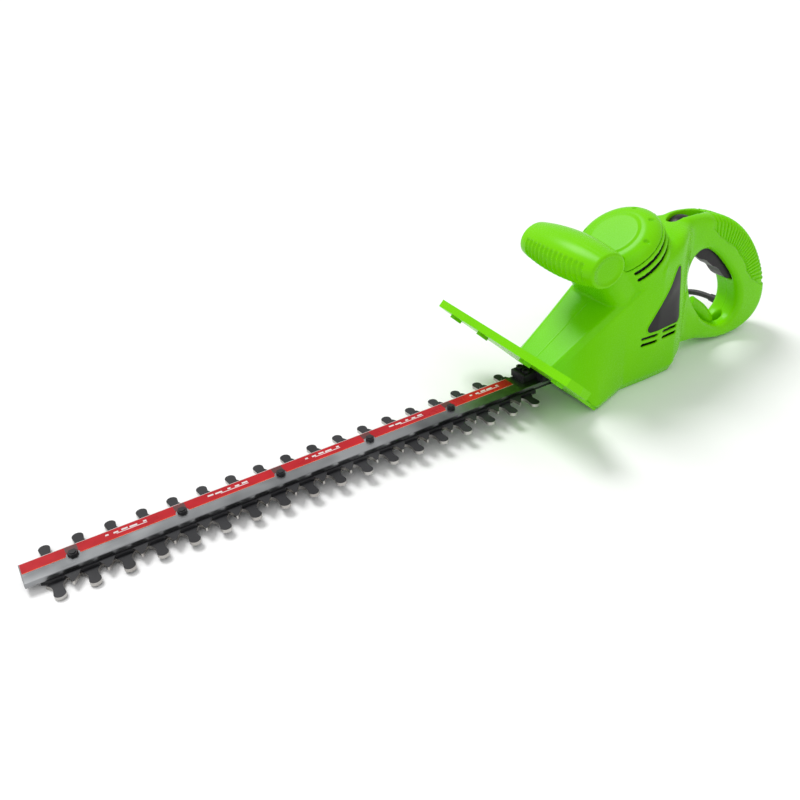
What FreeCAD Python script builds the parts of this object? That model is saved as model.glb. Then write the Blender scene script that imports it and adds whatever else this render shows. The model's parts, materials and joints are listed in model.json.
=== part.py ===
"""Corded hedge trimmer: a two-handled tool with an 18 inch dual-action cutter.

Everything is drawn in the cutter's frame: X runs forward to the bar's tip, Y to the tool's left,
Z up, with X = 0 on the first tooth and Z = 0 on the plane where the two blades meet.
save_all() then tips the nose down until sole and tip stand on one floor, and puts the origin
at the centre of the base.
"""
import FreeCAD, Part
import math
import os
from FreeCAD import Placement, Rotation, Vector

# ---- driving dimensions, mm ----
PITCH = 25.4              # tooth pitch of the cutter
TEETH = 18                # long teeth on each side
TIP_DROP = 3.6            # blade plane above the floor at the first tooth
NOSE_DOWN = 1.884         # degrees between the cutter and the floor

LONG_ROOT, LONG_NECK, LONG_TIP_R = 7.6, 3.7, 4.5    # half widths of a long tooth, tip radius
TOOTH_Y = 28.25           # centre of a long tooth's round tip
STRIP_HALF = 15.0         # half width of a blade's solid strip
SHORT_TIP_Y, LOW_TIP_Y = 25.5, 20.0       # reach of the short teeth on the left and right edges
BLADE_T, TOOTH_T = 2.0, 3.0            # thickness of the strips and of the teeth
BLADE_GAP = 0.3
BLADE_STROKE = 5.5        # each blade moves this far each way
BLADE_FRONT = 10.0

BAR_HALF, BAR_T, BAR_FRONT, BAR_REAR = 12.5, 4.0, 20.5, -511.0
BOLT_X0, BOLT_STEP, BOLTS = -17.5, -85.0, 5
BUSH_R, BOLT_R = 4.0, 2.5
CLAMP_SCREW_X, CLAMP_SCREW_Y = -444.0, (-10.0, -1.0)

GUARD_FOOT_X, GUARD_FOOT_Z = -491.0, -20.0    # where the leaning guard plane meets the floor
GUARD_LEAN = 45.0
GUARD_HALF, GUARD_T, LIP = 104.0, 3.0, 7.5
GUARD_RISE = 113.0        # height of the guard measured up its own slope
WING_HEIGHT = 30.0

WALL = 2.8                # moulded wall thickness
TOWER = Vector(-549, 0, 118)                  # centre of the ledge round the motor tower
TOWER_TILT = 32.0
TOWER_R, TOWER_BASE_R, CAP_R, CAP_H = 43.0, 42.5, 23.0, 13.0
NECK_HALF, NECK_FRONT, NECK_CORNER = 35.0, 49.0, 14.0

GRIP_X, GRIP_Z, GRIP_HALF = -491.5, 121.4, 49.5
GRIP_END_R, GRIP_MID_R, GRIP_OVAL = 15.4, 21.0, 1.2
GRIP_SPLIT = 20.0         # lean of the plane where the grip's halves meet, degrees

HANDLE_HALF, HANDLE_ROUND, HOLE_ROUND = 17.0, 9.0, 6.5
RECESS_X = -637.0         # centre of the thumb recess on top
CORD_HOLE_X = -704.0      # hole in the bottom of the loop for a cord's loop
EXIT = Vector(-738, -17, -8)                  # where the power lead leaves the handle
RELIEF_LENGTH = 20.0
SWITCH, SWITCH_TURN = Vector(-704.3, 0, 86.8), -46.4
CORD_PARTS = ("power_lead", "strain_relief", "plug_body", "plug_blades")
# x, z and half width of the housing at each screw
HOUSING_SCREWS = [(-487, -10, 50), (-591, -6, 36), (-608, 45, 30), (-677, 104, 14.5), (-736, 42, 14.5),
                  (-668, -8, 14.5)]

MODULE, GEAR_TEETH, PINION_TEETH = 0.9, 50, 10
GEAR_X = -530.0
MOTOR_X = GEAR_X - MODULE * (GEAR_TEETH + PINION_TEETH) / 2
ECCENTRIC_R, THROW = 8.0, BLADE_STROKE

TRIGGER_PIVOT = Vector(-653, 0, 95.5)
TRIGGER_HALF = 8.6
CORD_R = 3.2

X, Y, Z = Vector(1, 0, 0), Vector(0, 1, 0), Vector(0, 0, 1)
BAR_Z = BLADE_T + 2 * BLADE_GAP
BAR_TOP = BAR_Z + BAR_T
parts = {}


# ---- shape helpers ----
def block(x, y, z):
    """A box from three (low, high) pairs."""
    return Part.makeBox(x[1] - x[0], y[1] - y[0], z[1] - z[0], Vector(x[0], y[0], z[0]))


def rod(radius, low, high, x=0.0, y=0.0):
    """A cylinder along Z."""
    return Part.makeCylinder(radius, high - low, Vector(x, y, low), Z)


def tube(outer, inner, low, high, x=0.0, y=0.0):
    return rod(outer, low, high, x, y).cut(rod(inner, low - 1, high + 1, x, y))


def cross_rod(radius, x, z, y0, y1):
    """A cylinder along Y."""
    return Part.makeCylinder(radius, y1 - y0, Vector(x, y0, z), Y)


def polygon(points):
    return Part.Face(Part.makePolygon(points + points[:1]))


def side_slab(outline, y0, y1):
    """An XZ outline extruded across the tool."""
    return polygon([Vector(x, y0, z) for x, z in outline]).extrude(Vector(0, y1 - y0, 0))


def plan_slab(outline, z0, z1):
    """An XY outline extruded upward."""
    return polygon([Vector(x, y, z0) for x, y in outline]).extrude(Vector(0, 0, z1 - z0))


def inset_points(outline, inset):
    """The points of an anticlockwise XZ outline, each moved inward square to its neighbours' line."""
    moved = []
    for i, (x, z) in enumerate(outline):
        (x0, z0), (x1, z1) = outline[i - 1], outline[(i + 1) % len(outline)]
        span = math.hypot(x1 - x0, z1 - z0)
        moved.append((x - inset * (z1 - z0) / span, z + inset * (x1 - x0) / span))
    return moved


def spline_slab(outline, half, inset=0.0):
    """A closed smooth XZ outline, inset, and extruded across the tool to both sides."""
    curve = Part.BSplineCurve()
    curve.interpolate([Vector(x, -half, z) for x, z in inset_points(outline, inset)], PeriodicFlag=True)
    return Part.Face(Part.Wire(curve.toShape())).extrude(Vector(0, 2 * half, 0))


def fuse(shapes):
    shapes = list(shapes)
    return shapes[0].multiFuse(shapes[1:]).removeSplitter() if len(shapes) > 1 else shapes[0]


def mirror(shape):
    return shape.mirror(Vector(0, 0, 0), Y)


def both_sides(shape):
    return [shape, mirror(shape)]


def tower_axis():
    t = math.radians(TOWER_TILT)
    return Vector(math.sin(t), 0, math.cos(t))


def to_tower(shape):
    """Moves a shape drawn about the origin's Z axis onto the tower's axis."""
    shape.Placement = Placement(TOWER, Rotation(Y, TOWER_TILT)).multiply(shape.Placement)
    return shape


def to_guard(shape):
    """Moves a shape drawn with X across the plate, Y sideways and Z up its slope."""
    foot = Vector(GUARD_FOOT_X, 0, GUARD_FOOT_Z)
    shape.Placement = Placement(foot, Rotation(Y, GUARD_LEAN)).multiply(shape.Placement)
    return shape


def floor_z(x):
    return -TIP_DROP + x * math.tan(math.radians(NOSE_DOWN))


# ---- cutter ----
def long_tooth(x, z0, z1):
    """A round-ended tooth with hollow flanks, on the left side."""
    def at(dx, y):
        return Vector(x + dx, y, z0)
    waist = (STRIP_HALF + TOOTH_Y) / 2 + 0.8
    edges = []
    for s in (-1, 1):
        edges.append(Part.Arc(at(s * LONG_ROOT, STRIP_HALF), at(s * 4.7, STRIP_HALF + 3.2),
                              at(s * LONG_NECK, waist)).toShape())
        edges.append(Part.LineSegment(at(s * LONG_NECK, waist), at(s * LONG_TIP_R, TOOTH_Y)).toShape())
    edges.append(Part.Arc(at(-LONG_TIP_R, TOOTH_Y), at(0, TOOTH_Y + LONG_TIP_R),
                          at(LONG_TIP_R, TOOTH_Y)).toShape())
    root = [at(s * LONG_ROOT, STRIP_HALF) for s in (-1, 1)]
    edges.append(Part.LineSegment(*root).toShape())
    wire = Part.Wire(Part.__sortEdges__(edges))
    return Part.Face(wire).extrude(Vector(0, 0, z1 - z0))


def short_tooth(x, z0, z1):
    """A hooked tooth: straight leading edge, back cut away at a slant."""
    outline = [(x + 6.0, STRIP_HALF), (x + 3.4, STRIP_HALF + 4.5), (x + 2.4, SHORT_TIP_Y),
               (x + 0.9, SHORT_TIP_Y), (x - 4.2, STRIP_HALF + 4.2), (x - 6.2, STRIP_HALF)]
    return plan_slab(outline, z0, z1)


def low_tooth(x, z0, z1):
    """A low broad tooth, drawn on the left side."""
    outline = [(x + 5.0, STRIP_HALF), (x + 2.4, LOW_TIP_Y), (x - 2.4, LOW_TIP_Y), (x - 5.0, STRIP_HALF)]
    return plan_slab(outline, z0, z1)


def slots(z0, z1):
    """Long holes that let a blade slide past its bushes."""
    half = BLADE_STROKE + BUSH_R + 0.5
    width = BUSH_R + 0.35
    cuts = []
    for i in range(BOLTS):
        x = BOLT_X0 + BOLT_STEP * i
        cuts.append(block((x - half + width, x + half - width), (-width, width), (z0 - 1, z1 + 1)))
        cuts += [rod(width, z0 - 1, z1 + 1, x + s * (half - width)) for s in (-1, 1)]
    return cuts


def blade_strip(z0):
    """A blade's long strip, its tail and the yoke that goes round an eccentric."""
    z1 = z0 + BLADE_T
    rear = -PITCH * (TEETH - 1) - 12
    front = [(BLADE_FRONT - 8, STRIP_HALF), (BLADE_FRONT, STRIP_HALF - 5), (BLADE_FRONT, -STRIP_HALF + 5),
             (BLADE_FRONT - 8, -STRIP_HALF)]
    strip = plan_slab(front + [(rear, -STRIP_HALF), (rear, STRIP_HALF)], z0, z1)
    tail = block((GEAR_X, rear), (-9.5, 9.5), (z0, z1))
    yoke = block((GEAR_X - 23.5, GEAR_X + 23.5), (-18, 18), (z0, z1))
    return fuse([strip, tail, yoke]).cut(yoke_window(z0, z1)).cut(fuse(slots(z0, z1)))


def tooth_row(tooth, first, count, z0):
    """Teeth at one pitch from the first one back, along the left edge."""
    return [tooth(first - PITCH * i, z0, z0 + TOOTH_T) for i in range(count)]


def yoke_window(z0, z1):
    """Opening that the eccentric's whole orbit clears wherever the blade stands."""
    half = ECCENTRIC_R + THROW + 0.5
    ends = [rod(half, z0 - 1, z1 + 1, GEAR_X + s * BLADE_STROKE) for s in (-1, 1)]
    middle = block((GEAR_X - BLADE_STROKE, GEAR_X + BLADE_STROKE), (-half, half), (z0 - 1, z1 + 1))
    return fuse(ends + [middle])


def build_cutter():
    parts["lower_blade"] = blade_strip(-BLADE_T)
    long_row = tooth_row(long_tooth, 0.0, TEETH, -TOOTH_T)
    parts["lower_teeth"] = Part.makeCompound(long_row + [mirror(t) for t in long_row])
    parts["upper_blade"] = blade_strip(BLADE_GAP)
    short_row = tooth_row(short_tooth, -PITCH / 2, TEETH - 1, BLADE_GAP)
    low_row = tooth_row(low_tooth, -PITCH, TEETH - 1, BLADE_GAP)
    parts["upper_teeth"] = Part.makeCompound(short_row + [mirror(t) for t in low_row])
    bolt_x = [BOLT_X0 + BOLT_STEP * i for i in range(BOLTS)]
    low = -BLADE_T - BLADE_GAP
    bar = block((BAR_REAR, BAR_FRONT), (-BAR_HALF, BAR_HALF), (BAR_Z, BAR_TOP))
    bar = bar.makeChamfer(0.5, [e for e in bar.Edges if abs(e.CenterOfMass.z - BAR_TOP) < 0.01])
    holes = [rod(BOLT_R + 0.1, 0, 9, x) for x in bolt_x]
    holes += [rod(2.1, 0, 9, CLAMP_SCREW_X, y) for y in CLAMP_SCREW_Y]
    parts["support_bar"] = bar.cut(fuse(holes))
    label = block((-428, BAR_FRONT - 0.8), (-BAR_HALF + 0.7, 0.6), (BAR_TOP, BAR_TOP + 0.2))
    label = label.cut(fuse([rod(5.4, 0, 9, x) for x in bolt_x]))
    parts["bar_label"] = label
    parts["blade_bushes"] = Part.makeCompound([tube(BUSH_R, BOLT_R + 0.1, low, BAR_Z, x) for x in bolt_x])
    bolts = [rod(BOLT_R, low, BAR_TOP + 3.4, x).fuse(rod(6.2, low - 1.5, low, x)) for x in bolt_x]
    parts["bar_bolts"] = Part.makeCompound(bolts)
    parts["bar_nuts"] = Part.makeCompound([hex_nut(x, BAR_TOP, 4.0, BOLT_R, 2.6) for x in bolt_x])


def hex_prism(x, z, radius, height, y=0.0):
    sixth = math.pi / 3
    corners = [(x + radius * math.cos(sixth * i), y + radius * math.sin(sixth * i)) for i in range(6)]
    return plan_slab(corners, z, z + height)


def hex_nut(x, z, radius, bore, height):
    return hex_prism(x, z, radius, height).cut(rod(bore + 0.02, z - 1, z + height + 1, x))


def build_clamp():
    """The black block that holds the bar in front of the guard, and its two screws."""
    top = BAR_TOP + 7.5
    body = block((-466, -437), (-14.5, 14.5), (BAR_TOP, top))
    body = body.cut(block((-452, -430), (4.5, 20), (0, top + 1)))
    body = body.makeChamfer(0.8, [e for e in body.Edges if abs(e.CenterOfMass.z - top) < 0.01])
    parts["bar_clamp"] = body.cut(fuse([rod(2.1, 0, 30, CLAMP_SCREW_X, y) for y in CLAMP_SCREW_Y]))
    screws = []
    for y in CLAMP_SCREW_Y:
        shank = rod(2.0, BAR_Z + 0.3, top, CLAMP_SCREW_X, y)
        head = rod(3.6, top, top + 2.4, CLAMP_SCREW_X, y).cut(hex_prism(CLAMP_SCREW_X, top + 1, 2.0, 3, y))
        screws.append(shank.fuse(head))
    parts["clamp_screws"] = Part.makeCompound(screws)


# ---- guard ----
def guard_plate(inset, x0, x1):
    """The guard's outline in its own frame: a body-wide shield with a wing each side."""
    w, top = GUARD_HALF - inset, GUARD_RISE - inset
    low = GUARD_RISE - WING_HEIGHT + inset
    corner = 9.0
    right = [(w - corner, top), (w, top - corner), (w, low + corner), (w - corner, low),
             (58 - inset, 52 + inset), (52 - inset, 6 + inset)]
    outline = right + [(-y, z) for y, z in reversed(right)]
    return polygon([Vector(x0, y, z) for y, z in outline]).extrude(Vector(x1 - x0, 0, 0))


def build_guard():
    plate = guard_plate(0, 0, GUARD_T)
    rim = guard_plate(0, -LIP + GUARD_T, 0).cut(guard_plate(GUARD_T, -LIP, 1))
    rim = rim.cut(block((-LIP - 1, GUARD_T), (-60, 60), (-10, 80)))
    ribs = [block((GUARD_T, GUARD_T + 3.0), (y - 3.0, y + 3.0), (GUARD_RISE - 17, GUARD_RISE - 6))
            for k in (32.0, 76.0) for y in (-k, k)]
    guard = to_guard(fuse([plate, rim] + ribs))
    passage = block((-520, -400), (-22.5, 22.5), (-6.5, BAR_TOP + 8.2))
    parts["hand_guard"] = guard.cut(passage)


# ---- housing ----
# each station: x, sole half width, top half width, top z, bottom lift above the floor
STATIONS = [(-440, 64, 26, 15.6, -1), (-491, 54, 31.2, 48.7, -1), (-532, 39.5, 36.6, 75.3, -1),
            (-570, 38.5, 43.5, 104, -1), (-600, 37.5, 36.5, 121, 0.6), (-617, 31, 27, 123.5, 9),
            (-634, 14, 12, 122, 21)]
HANDLE_OUTER = [(-600, 60), (-603, 105), (-618, 125), (-640, 126.5), (-662, 122.5), (-688, 112.5), (-711, 97),
                (-731, 76), (-746, 53), (-756, 30), (-758.5, 8), (-751, -10), (-735, -21), (-710, -25.5),
                (-682, -22), (-652, -14), (-620, -8), (-605, 20)]
HANDLE_HOLE = [(-635.5, 62), (-637, 76), (-643, 85), (-655, 88), (-668, 82.5), (-688, 65), (-704.5, 45.5),
               (-715.5, 24), (-716.5, 8), (-709, -3.5), (-695, -8), (-680, -2.5), (-663, 10.5), (-650, 27),
               (-640, 45)]


def station_wire(x, sole, top, top_z, lift, inset):
    low = floor_z(x) + lift + inset
    knee = low + 10
    sole, top, high = sole - inset, top - inset, top_z - inset
    ring = [(-sole + 5, low), (sole - 5, low), (sole, knee), (top, high - 4), (top - 5, high + 1.2),
            (-top + 5, high + 1.2), (-top, high - 4), (-sole, knee)]
    return Part.makePolygon([Vector(x, y, z) for y, z in ring + ring[:1]])


def body_form(inset):
    """The main body: a tapering trunk that the leaning guard plane cuts off in front."""
    trunk = Part.makeLoft([station_wire(*s, inset) for s in STATIONS], True, True)
    front = to_guard(block((-inset, 200), (-200, 200), (-100, 300)))
    ground = block((-900, 100), (-200, 200), (-60, max(inset, 0)))
    ground.Placement = Placement(Vector(0, 0, -TIP_DROP), Rotation(Y, -NOSE_DOWN))
    return trunk.cut([front, ground])


def tower_form(inset):
    """The round motor tower that stands square on the sloping deck."""
    wall = Part.makeCone(TOWER_BASE_R - inset, TOWER_R - inset, 60, Vector(0, 0, -60), Z)
    return to_tower(wall)


def neck_form(inset):
    """The broad post in front of the tower that carries the front grip."""
    half, front, r = NECK_HALF - inset, NECK_FRONT - inset, NECK_CORNER - inset
    post = block((0, front), (-half, half), (-40, 20))
    upright = [e for e in post.Edges if abs(e.tangentAt(e.FirstParameter).z) > 0.9]
    rounded = [e for e in upright if e.CenterOfMass.x > front - 0.01]
    return to_tower(post.makeFillet(r, rounded)).cut(barrel(-0.1))


def handle_form():
    """The rear loop handle with its rounded section."""
    slab = spline_slab(HANDLE_OUTER, HANDLE_HALF)
    slab = slab.makeFillet(HANDLE_ROUND, rims(slab, HANDLE_HALF))
    loop = slab.cut(spline_slab(HANDLE_HOLE, 80))
    inner = [e for e in rims(loop, HANDLE_HALF) if e.BoundBox.XMin > -745 and e.BoundBox.XMax < -625
             and e.BoundBox.ZMin > -15]
    return loop.makeFillet(HOLE_ROUND, inner)


def handle_cavity():
    """The loop handle's hollow, stepped so that it keeps a wall behind the rounded corners."""
    wide = spline_slab(HANDLE_OUTER, HANDLE_HALF - WALL, 5.5).cut(spline_slab(HANDLE_HOLE, 80, -4.5))
    deep = spline_slab(HANDLE_OUTER, 10.0, WALL).cut(spline_slab(HANDLE_HOLE, 80, -WALL))
    return wide.fuse(deep)


def rims(solid, half):
    """The edges that lie flat in the side faces."""
    return [e for e in solid.Edges if abs(abs(e.CenterOfMass.y) - half) < 0.01 and e.BoundBox.YLength < 0.01]


def vent_cuts():
    """Two curved slots each side of the tower, and four short slots under each side label."""
    cuts = []
    for level in (-6.5, -15.5):
        ring = tube(TOWER_BASE_R + 12, TOWER_R - 12, level - 2.0, level + 2.0)
        wedge = Part.makeCylinder(90, 8, Vector(0, 0, level - 4), Z, 84)
        for start in (62, 214):
            sector = wedge.copy()
            sector.rotate(Vector(0, 0, 0), Z, start)
            cuts.append(to_tower(ring.common(sector)))
    for row in (0, 1):
        for col in (0, 1):
            x0, z0 = -573.5 - 28 * col, 29.0 - 6.8 * row
            outline = [(x0, z0 - 0.8), (x0 + 22, z0), (x0 + 22, z0 + 3.0), (x0, z0 + 2.2)]
            cuts.append(side_slab(outline, -70, 70))
    return cuts


def build_housing():
    """The moulded shell with bosses, vents and openings, split down the middle into two halves."""
    outer = fuse([body_form(0), tower_form(0), neck_form(0), handle_form()])
    shell = outer.cut(fuse([body_form(WALL), tower_form(WALL), neck_form(WALL), handle_cavity()]))
    inner = [tray_block(), cord_sleeve()] + [boss(*place) for place in HOUSING_SCREWS]
    shell = shell.multiFuse([piece.common(outer) for piece in inner])
    shell = shell.cut(vent_cuts() + housing_openings())
    parts["housing_left"] = biggest(shell.common(block((-900, 100), (0.05, 200), (-100, 300))))
    parts["housing_right"] = biggest(shell.common(block((-900, 100), (-200, -0.05), (-100, 300))))
    return outer


def biggest(shape):
    return max(shape.Solids, key=lambda s: s.Volume)


def oval(x, half_length, half_width, taper=0.0):
    """Plan outline of an oval, narrower toward the rear by the taper."""
    turns = [2 * math.pi * i / 28 for i in range(28)]
    return [(x + half_length * math.cos(a), half_width * math.sin(a) * (1 + taper * (math.cos(a) - 1)))
            for a in turns]


def tray_block():
    """Block that the thumb recess is sunk into, hung under the top skin."""
    return plan_slab(oval(RECESS_X, 27, 11.5, 0.15), 108.5, 140)


def cord_sleeve():
    """Wall round the hole that a cord's loop is pushed through."""
    return plan_slab(oval(CORD_HOLE_X, 10.2, 6.4), -40, 0)


def boss(x, z, reach):
    return cross_rod(5.0, x, z, -reach, reach)


def screw_cut(x, z, reach):
    """Bore and head pocket of a housing screw, which goes in from the right."""
    return cross_rod(1.6, x, z, -reach, 9).fuse(cross_rod(3.4, x, z, -reach - 20, -reach + 5))


def housing_openings():
    """Openings and bores: cutter, thumb lock, trigger and its pin, cords, cap seat and screws."""
    mouth = block((-520, -430), (-24, 24), (-7, BAR_TOP + 9))
    recess = plan_slab(oval(RECESS_X, 25, 9.5, 0.15), 111, 160)
    slot = block((-643, RECESS_X + 15), (-3.4, 3.4), (100, 113))
    outline = [(-644.5, 78), (-645, 103), (-662, 104.5), (-676, 96), (-694, 80), (-722, 48), (-706, 34),
               (-690, 50)]
    trigger = side_slab(outline, -TRIGGER_HALF - 0.5, TRIGGER_HALF + 0.5)
    cord_hole = plan_slab(oval(CORD_HOLE_X, 8, 4.2), -60, 0)
    exit_hole = cross_rod(CORD_R + 2.3, EXIT.x, EXIT.z, -40, -6)
    collar_seat = cross_rod(6.9, EXIT.x, EXIT.z, EXIT.y + 3.7, -6)
    seat = to_tower(rod(TOWER_R - WALL + 0.6, -1.6, 60).fuse(rod(TOWER_R - 0.7, 0, 60)))
    pin = cross_rod(2.02, TRIGGER_PIVOT.x, TRIGGER_PIVOT.z, -16.2, 16.2)
    spring = cross_rod(4.2, TRIGGER_PIVOT.x, TRIGGER_PIVOT.z, TRIGGER_HALF, 13.6)
    screws = [screw_cut(*place) for place in HOUSING_SCREWS]
    return [mouth, recess, slot, trigger, cord_hole, exit_hole, collar_seat, seat, pin, spring] + screws


def build_hook():
    """Cord hook that curls from the floor of the hand hole back toward its front wall."""
    spine = Part.BSplineCurve()
    spine.interpolate([Vector(-692, 0, -9), Vector(-686, 0, 0.5), Vector(-678.5, 0, 9), Vector(-669, 0, 17),
                       Vector(-659.5, 0, 24.5)])
    start = Part.Wire(Part.Ellipse(Vector(0, 0, 0), 6.5, 4.0).toShape())
    start.Placement = Placement(spine.value(0), Rotation(Z, spine.tangent(0)[0]))
    hook = Part.Wire(spine.toShape()).makePipeShell([start], True, False)
    parts["cord_hook"] = hook.cut(handle_form())


def build_cap():
    """The domed tower cap: a band that rounds over to a flat disc."""
    profile = [Vector(0, 0, -1.2), Vector(TOWER_R - WALL, 0, -1.2), Vector(TOWER_R - WALL, 0, 0.15),
               Vector(TOWER_R - 1.0, 0, 0.15)]
    edges = [Part.LineSegment(profile[i], profile[i + 1]).toShape() for i in range(3)]
    shoulder = Vector(TOWER_R - 1.5, 0, 2.5)
    rim, crown = Vector(CAP_R + 3, 0, CAP_H - 1.2), Vector(CAP_R, 0, CAP_H)
    edges.append(Part.LineSegment(profile[3], shoulder).toShape())
    edges.append(Part.Arc(shoulder, Vector(TOWER_R - 8, 0, CAP_H - 3.4), rim).toShape())
    edges.append(Part.LineSegment(rim, crown).toShape())
    edges.append(Part.LineSegment(crown, Vector(0, 0, CAP_H)).toShape())
    edges.append(Part.LineSegment(Vector(0, 0, CAP_H), profile[0]).toShape())
    cap = Part.Face(Part.Wire(edges)).revolve(Vector(0, 0, 0), Z, 360)
    hollow = Part.makeCone(TOWER_R - 7, CAP_R - 4, CAP_H - 1.6, Vector(0, 0, -1.3), Z)
    parts["tower_cap"] = to_tower(cap.cut(hollow))


# ---- front grip ----
def barrel(shrink):
    """The front grip's oval barrel: fullest in the middle, narrower at both ends."""
    half = GRIP_HALF - shrink
    y_at = [-half, -half + 4, -half / 2, 0, half / 2, half - 4, half]
    wires = []
    for y in y_at:
        swell = 1 - (y / (half + 0.01)) ** 2 * 0.9
        r = GRIP_END_R + (GRIP_MID_R - GRIP_END_R) * swell - shrink
        if abs(y) > half - 0.1:
            r -= 2.5
        ring = Part.Ellipse(Vector(0, 0, 0), r * GRIP_OVAL, r).toShape()
        ring.Placement = Placement(Vector(GRIP_X, y, GRIP_Z), Rotation(X, 90))
        wires.append(Part.Wire(ring))
    return Part.makeLoft(wires, True, False)


def build_grip():
    """Two hollow halves that meet on the barrel's axis: a smooth top and a ribbed underside."""
    skin = barrel(0).cut(barrel(WALL))
    dish = cross_rod(GRIP_END_R - 4.5, GRIP_X, GRIP_Z, GRIP_HALF - 1.2, GRIP_HALF + 0.2)
    skin = skin.cut(both_sides(dish))
    upper = block((-60, 60), (-60, 60), (0, 60))
    upper.Placement = Placement(Vector(GRIP_X, 0, GRIP_Z), Rotation(Y, GRIP_SPLIT))
    parts["grip_top"] = biggest(skin.common(upper))
    parts["grip_under"] = biggest(skin.cut(upper))


# ---- drive ----
def gear(teeth, z0, z1, x, bore, phase):
    """A spur gear with straight-flanked teeth, slightly thin for backlash."""
    pitch_r = MODULE * teeth / 2
    step = 2 * math.pi / teeth
    flank = [(-0.30, pitch_r - 1.2 * MODULE), (-0.13, pitch_r + 0.85 * MODULE)]
    outline = []
    for i in range(teeth):
        for turn, radius in flank + [(-turn, radius) for turn, radius in reversed(flank)]:
            a = phase + (i + turn) * step
            outline.append((x + radius * math.cos(a), radius * math.sin(a)))
    return plan_slab(outline, z0, z1).cut(rod(bore, z0 - 1, z1 + 1, x))


def build_gearbox():
    """Lower case and cover: they carry the bar, the gear's shaft and the motor's lower bearing."""
    left, right = -576.0, -493.0
    case = block((left, right), (-30, 30), (-13, 17.7)).cut(block((left + 4, right - 4), (-26, 26), (-5, 30)))
    case = case.cut(block((right - 5, right + 1), (-17, 17), (-2.6, 3.1)))
    case = case.cut(block((right - 5, right + 1), (-BAR_HALF - 0.2, BAR_HALF + 0.2), (0, BAR_TOP + 0.2)))
    case = case.cut(rod(5.05, -11, 0, GEAR_X))
    corners = [(x, y) for x in (left + 6.5, right - 7.5) for y in (-23, 23)]
    case = case.fuse([rod(3.6, -5, 17.7, x, y) for x, y in corners])
    parts["gear_case"] = case.cut([rod(1.6, 4, 20, x, y) for x, y in corners])
    cover = block((left, right), (-30, 30), (18, 23))
    cover = cover.cut([rod(2.1, 10, 30, x, y) for x, y in corners])
    parts["gear_cover"] = cover.cut([rod(5.05, 15, 22, GEAR_X), rod(8.0, 10, 30, MOTOR_X)])
    screws = [rod(1.5, 6, 23, x, y).fuse(rod(3.4, 23, 25.2, x, y)) for x, y in corners]
    parts["gearbox_screws"] = Part.makeCompound(screws)
    bush = [tube(5.0, 4.04, -10.8, -2.6, GEAR_X), tube(5.0, 4.04, 17.9, 21.8, GEAR_X)]
    parts["gear_bushes"] = Part.makeCompound(bush)


def build_gear():
    """Large gear with its shaft and the two eccentrics, set opposite each other."""
    shaft = rod(4.0, -10.5, 21.5, GEAR_X)
    lower = rod(ECCENTRIC_R, -BLADE_T, -0.02, GEAR_X, THROW)
    upper = rod(ECCENTRIC_R, BLADE_GAP, BLADE_GAP + BLADE_T, GEAR_X, -THROW)
    hub = rod(7.5, BLADE_GAP + BLADE_T, 8.5, GEAR_X)
    neck = rod(3.2, -BLADE_T, BLADE_GAP + BLADE_T, GEAR_X)
    wheel = gear(GEAR_TEETH, 8.5, 15.5, GEAR_X, 3.0, math.pi)
    windows = [rod(3.6, 5, 20, GEAR_X + 14 * math.cos(a), 14 * math.sin(a))
               for a in (2 * math.pi * i / 6 for i in range(6))]
    parts["drive_gear"] = fuse([wheel.cut(fuse(windows)), shaft, hub, neck])
    parts["eccentrics"] = Part.makeCompound([s.cut(rod(4.0, -20, 20, GEAR_X)) for s in (lower, upper)])


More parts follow.
